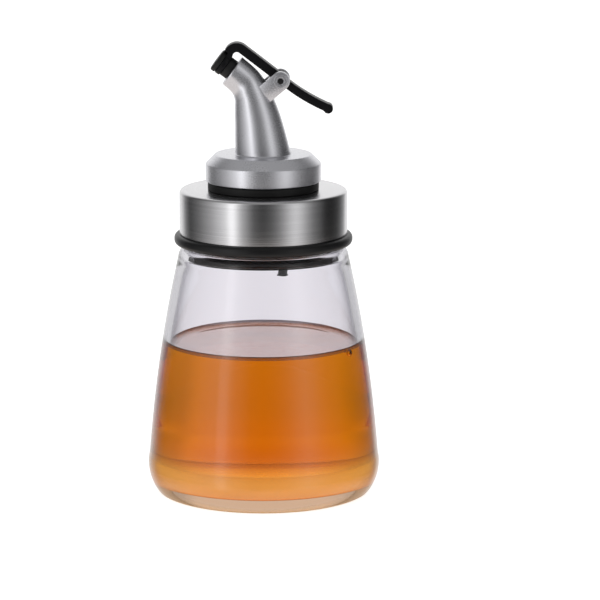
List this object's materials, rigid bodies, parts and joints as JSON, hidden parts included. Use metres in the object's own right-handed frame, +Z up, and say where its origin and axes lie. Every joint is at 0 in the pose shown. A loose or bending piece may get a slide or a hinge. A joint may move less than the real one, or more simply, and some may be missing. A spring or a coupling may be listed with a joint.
{
  "type": "oil bottle with lever pourer",
  "caption": "Tapered clear glass oil bottle with a screw-on steel-clad lid, a bent pouring spout on a round collar, and a pivoted lever whose rubber stopper closes the mouth.",
  "frame": {"origin": "centre of the ring that the bottle stands on, at the level of the table", "axes": "+Z up along the bottle's axis; the spout's mouth faces -X and the lever's tail faces +X"},
  "size_m": [0.0804, 0.0804, 0.1566],
  "materials": {
    "clear_glass": "polished clear soda glass",
    "oil": "clear amber liquid",
    "brushed_cap": "brushed around the cap",
    "black_plastic": "satin moulded plastic",
    "clear_silicone": "soft translucent silicone",
    "black_rubber": "soft matte rubber",
    "silver_plastic": "silver metallic lacquer, satin",
    "pin_steel": "dark pin end",
    "lever_plastic": "black moulded plastic, slight gloss"
  },
  "bodies": {
    "bottle": {"glass_bottle": "clear_glass", "oil_fill": "oil"},
    "seal": {"neck_seal": "clear_silicone"},
    "lid": {"lid_shell": "brushed_cap", "lid_liner": "black_plastic"},
    "pourer": {"spout_body": "silver_plastic", "bung": "black_rubber", "flow_plate": "black_plastic", "vent_tube": "black_plastic", "pivot_pin": "pin_steel"},
    "lever": {"lever": "lever_plastic", "stopper": "black_rubber"}
  },
  "joints": [
    {"name": "lid_rise", "type": "slide", "parent": "bottle", "child": "seal", "axis": [0, 0, 1], "range_m": [0, 0.0051]},
    {"name": "lid_turn", "type": "hinge", "parent": "seal", "child": "lid", "pos_m": [0, 0, 0.1], "axis": [0, 0, 1], "range_deg": [0, 450]},
    {"name": "pourer_pull", "type": "slide", "parent": "lid", "child": "pourer", "axis": [0, 0, 1], "range_m": [0, 0.036]},
    {"name": "lever_press", "type": "hinge", "parent": "pourer", "child": "lever", "pos_m": [0.00595, 0, 0.14385], "axis": [0, 1, 0], "range_deg": [0, 40]}
  ],
  "couplings": [
    {"joint": "lid_rise", "follows": "lid_turn", "m_per_rad": 0.00063662}
  ]
}
